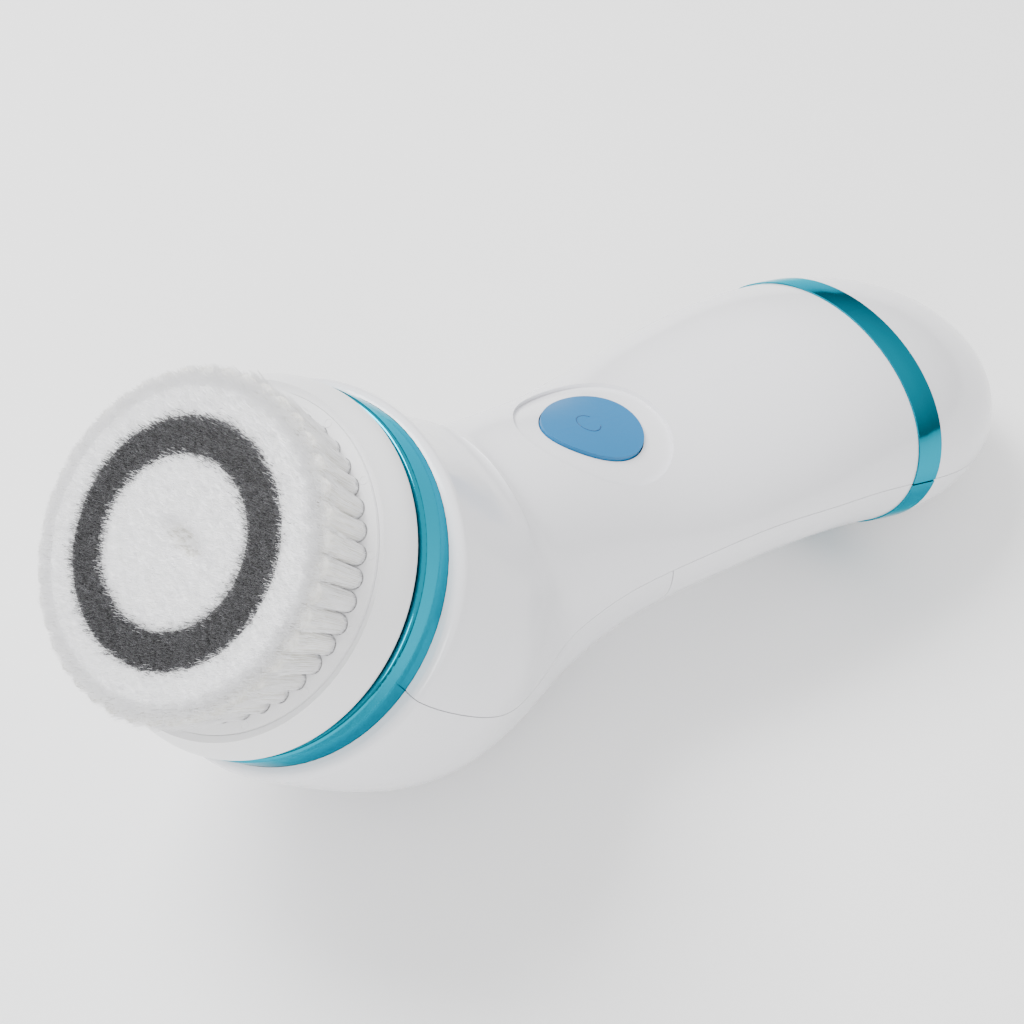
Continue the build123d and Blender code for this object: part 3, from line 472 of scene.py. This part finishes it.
def surface_strands(inner, outer, density, length, ragged):
    """Short fibres over a ring of the brush, evenly spread on a sunflower spiral."""
    strands = []
    count = int(math.pi * (outer ** 2 - inner ** 2) * density)
    for step in range(count):
        radius = math.sqrt(inner ** 2 + (outer ** 2 - inner ** 2) * (step + 0.5) / count)
        turn = sunflower(step)
        x = radius * math.cos(turn) + rng.gauss(0, ragged)
        y = radius * math.sin(turn) + rng.gauss(0, ragged)
        splay = FLARE * (radius / OUTER_ROW_R) ** 2 * length / (CORE_TOP - TUFT_FACE)
        out = Vector((math.cos(turn), math.sin(turn), 0)) * splay
        tip = Vector((x, y, brush_height(x, y) + rng.gauss(0, 0.16)))
        sway = Vector((rng.gauss(0, 0.2), rng.gauss(0, 0.2), 0))
        root = tip - out - sway - Vector((0, 0, length))
        bend = tip.lerp(root, 0.45) - sway * 0.25
        strands.append((root, bend, tip))
    return strands


def outer_strands(number):
    """Full-length fibres of the outer row, from their holes to the splayed edge."""
    strands = []
    for tuft in range(OUTER_TUFTS):
        middle = math.tau * tuft / OUTER_TUFTS
        uneven = rng.uniform(-0.35, 0.3)
        for step in range(number):
            share = math.sqrt((step + 0.5) / number)
            spoke = sunflower(step)
            radial, side = share * math.cos(spoke), share * math.sin(spoke)
            root_r = OUTER_ROW_R + radial * TUFT_R * ROOT_FILL
            tip_r = OUTER_ROW_R + FLARE + radial * TUFT_R * TIP_SPREAD + rng.gauss(0, 0.16) + uneven
            root_turn = middle + side * TUFT_R * ROOT_FILL / OUTER_ROW_R
            tip_turn = middle + (side * TUFT_R * TIP_SPREAD + rng.gauss(0, 0.22)) / EDGE_R
            tip = Vector((tip_r * math.cos(tip_turn), tip_r * math.sin(tip_turn), 0))
            tip.z = brush_height(tip.x, tip.y) + rng.gauss(0, 0.3)
            root = Vector((root_r * math.cos(root_turn), root_r * math.sin(root_turn), COLUMN_FOOT + 0.3))
            bend = root.lerp(tip, 0.55)
            bend -= Vector((math.cos(middle), math.sin(middle), 0)) * 0.22
            strands.append((root, bend, tip))
    return strands


grow("fibres_edge", outer_strands(240), "white_fibre")
grow("fibres_outer", surface_strands(DARK_OUT, EDGE_R - 0.4, 22.0, 2.6, 0.3), "white_fibre")
grow("fibres_dark", surface_strands(DARK_IN, DARK_OUT, 25.0, 2.2, 0.5), "charcoal_fibre")
centre = surface_strands(0.0, DARK_IN, 22.0, 2.6, 0.4)
parted = [strand for strand in centre if parting(strand[2].x, strand[2].y) > PARTED]
level_ones = [strand for strand in centre if parting(strand[2].x, strand[2].y) <= PARTED]
grow("fibres_parting", parted, "ivory_fibre")
grow("fibres_centre", level_ones, "white_fibre")

# %% [markdown]
# Small moulding details finish the hard parts. The tuft plate keeps the shallow witness rings of its ejector
# pins, and the power button carries a plain broken ring. Both are made by spinning a small circle.


# %% Witness rings on the tuft plate
def thin_ring(bm, radius, wire, angle, steps, matrix):
    """In an empty bmesh, a ring of wire or an open arc of it, spun about the local Z axis and then placed."""
    upright = Matrix.Translation((radius, 0, 0)) @ Matrix.Rotation(math.pi / 2, 4, "X")
    bmesh.ops.create_circle(bm, segments=6, radius=wire, matrix=upright)
    full = abs(angle - math.tau) < 1e-6
    bmesh.ops.spin(bm, geom=bm.verts[:] + bm.edges[:], axis=(0, 0, 1), cent=(0, 0, 0), dvec=(0, 0, 0),
                   angle=angle, steps=steps, use_merge=full)
    if not full:
        bmesh.ops.holes_fill(bm, edges=[e for e in bm.edges if e.is_boundary], sides=8)
    bmesh.ops.transform(bm, matrix=matrix, verts=bm.verts)


WITNESS_R, WITNESS_WIRE, WITNESS_COUNT = 0.55, 0.07, 14
WITNESS_AT = (OUTER_ROW_R + TUFT_R + PLATE_R) / 2
bm = bmesh.new()
thin_ring(bm, WITNESS_R, WITNESS_WIRE, math.tau, 20, Matrix.Translation((WITNESS_AT, 0, TUFT_FACE)))
copy_round(bm, WITNESS_COUNT)
add_piece("witness_rings", finish_bmesh("witness_rings", bm), "brush_white")
print("witness rings:", WITNESS_COUNT)

# %% [markdown]
# The button's face is curved, so its ring is first made flat above the button and each point is then
# dropped along the push direction onto the CAD surface, found by a ray.

# %% Ring on the power button
MARK_R, MARK_WIRE, MARK_PROUD = 1.9, 0.09, 0.4
MARK_SWEEP, MARK_TURN = math.radians(285), math.radians(40)
RAY_START = 20
PUSH = Vector(joints["button_press"]["axis"]).normalized()
BUTTON_X = HEAD_Y.cross(-PUSH).normalized()
button = nodes["power_button"]
button_low, button_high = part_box("power_button")
BUTTON_MIDDLE = (Vector(button_low) + Vector(button_high)) / 2
ABOVE = BUTTON_MIDDLE - PUSH * RAY_START * MM
face_place = frame_matrix(BUTTON_X, HEAD_Y, -PUSH, ABOVE)
corners, faces = [v.co for v in button.data.vertices], [p.vertices for p in button.data.polygons]
surface = BVHTree.FromPolygons(corners, faces)
bm = bmesh.new()
thin_ring(bm, MARK_R, MARK_WIRE, MARK_SWEEP, 40, Matrix.Rotation(MARK_TURN, 4, "Z"))
bmesh.ops.recalc_face_normals(bm, faces=bm.faces)
for v in bm.verts:
    height = v.co.z
    hit = surface.ray_cast(face_place @ Vector((v.co.x, v.co.y, 0)), PUSH)[0]
    v.co = hit - PUSH * height * MARK_PROUD * MM
mark_mesh = bpy.data.meshes.new("button_mark")
bm.to_mesh(mark_mesh)
bm.free()
add_piece("button_mark", mark_mesh, "blue_mark", "button")
print("button mark faces:", len(mark_mesh.polygons))

# %% [markdown]
# ## Studio
# A plain pale floor, two large soft lights and a world that is dim at the horizon and bright overhead. The
# dim part gives the polished rings something to contrast with.

# %% Floor, world and soft lights
floor_mesh = bpy.data.meshes.new("floor")
bm = bmesh.new()
bmesh.ops.create_grid(bm, x_segments=1, y_segments=1, size=3.0)
bm.to_mesh(floor_mesh)
bm.free()
floor = bpy.data.objects.new("floor", floor_mesh)
bpy.context.scene.collection.objects.link(floor)
floor.data.materials.append(plastic("studio_paper", (0.95, 0.95, 0.95), 0.9))
floor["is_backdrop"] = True

WALL_LIGHT, CEILING_LIGHT = 0.2, 1.5
world = bpy.data.worlds.new("studio")
bpy.context.scene.world = world
world.use_nodes = True
tree = world.node_tree
direction = tree.nodes.new("ShaderNodeTexCoord")
height = tree.nodes.new("ShaderNodeSeparateXYZ")
levels = tree.nodes.new("ShaderNodeValToRGB")
levels.color_ramp.elements[0].position = 0.0
levels.color_ramp.elements[0].color = (WALL_LIGHT, WALL_LIGHT, WALL_LIGHT, 1)
levels.color_ramp.elements[1].position = 0.55
levels.color_ramp.elements[1].color = (1, 1, 1, 1)
tree.links.new(direction.outputs["Generated"], height.inputs["Vector"])
tree.links.new(height.outputs["Z"], levels.inputs["Fac"])
tree.links.new(levels.outputs["Color"], tree.nodes["Background"].inputs["Color"])
tree.nodes["Background"].inputs["Strength"].default_value = CEILING_LIGHT


def softbox(name, place, target, size, power):
    light = bpy.data.lights.new(name, "AREA")
    light.shape = "RECTANGLE"
    light.size, light.size_y = size
    light.energy = power
    lamp = bpy.data.objects.new(name, light)
    bpy.context.scene.collection.objects.link(lamp)
    lamp.location = place
    lamp.rotation_euler = (Vector(target) - Vector(place)).to_track_quat("-Z", "Y").to_euler()
    print(name, "light, W:", power)


middle = (cad_low + cad_high) / 2
softbox("key", (-0.25, 0.45, 0.75), middle, (0.45, 0.45), 11.0)
softbox("fill", (-0.5, -0.45, 0.5), middle, (0.3, 0.3), 2.5)

# %% [markdown]
# The camera looks down on the brush head from in front. It's placed by where it stands, the direction behind
# it and a small roll, so it depends on nothing else in the scene.

# %% Camera
CAMERA_AT = Vector((-0.1888, -0.1788, 0.2827))
CAMERA_BACK = Vector((-0.4946, -0.5058, 0.7069)).normalized()
CAMERA_ROLL = math.radians(7.1)
CAMERA_LENS = 84.375
lens = bpy.data.cameras.new("camera")
lens.lens = CAMERA_LENS
lens.sensor_width = 36.0
lens.clip_start = 0.01
camera = bpy.data.objects.new("camera", lens)
bpy.context.scene.collection.objects.link(camera)
camera.location = CAMERA_AT
level = (-CAMERA_BACK).to_track_quat("-Z", "Y").to_matrix()
camera.rotation_euler = (level @ Matrix.Rotation(CAMERA_ROLL, 3, "Z")).to_euler()
bpy.context.scene.camera = camera
print("camera lens, mm:", CAMERA_LENS)

# %% [markdown]
# The last cell measures how far the visual model reaches past the CAD box and stops if that is too far. It
# catches a piece that is misplaced or has an infinite coordinate. It doesn't catch one that isn't a number,
# because the bounds leave those out.

# %% Sizes and finish
PAST_BOX_MM = 10
low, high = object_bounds()
grown = [round(1000 * v, 2) for v in (*(cad_low - low), *(high - cad_high))]
print("visual model beyond the CAD box, mm:", grown)
assert all(v < PAST_BOX_MM for v in grown), "a piece reaches outside the CAD box"
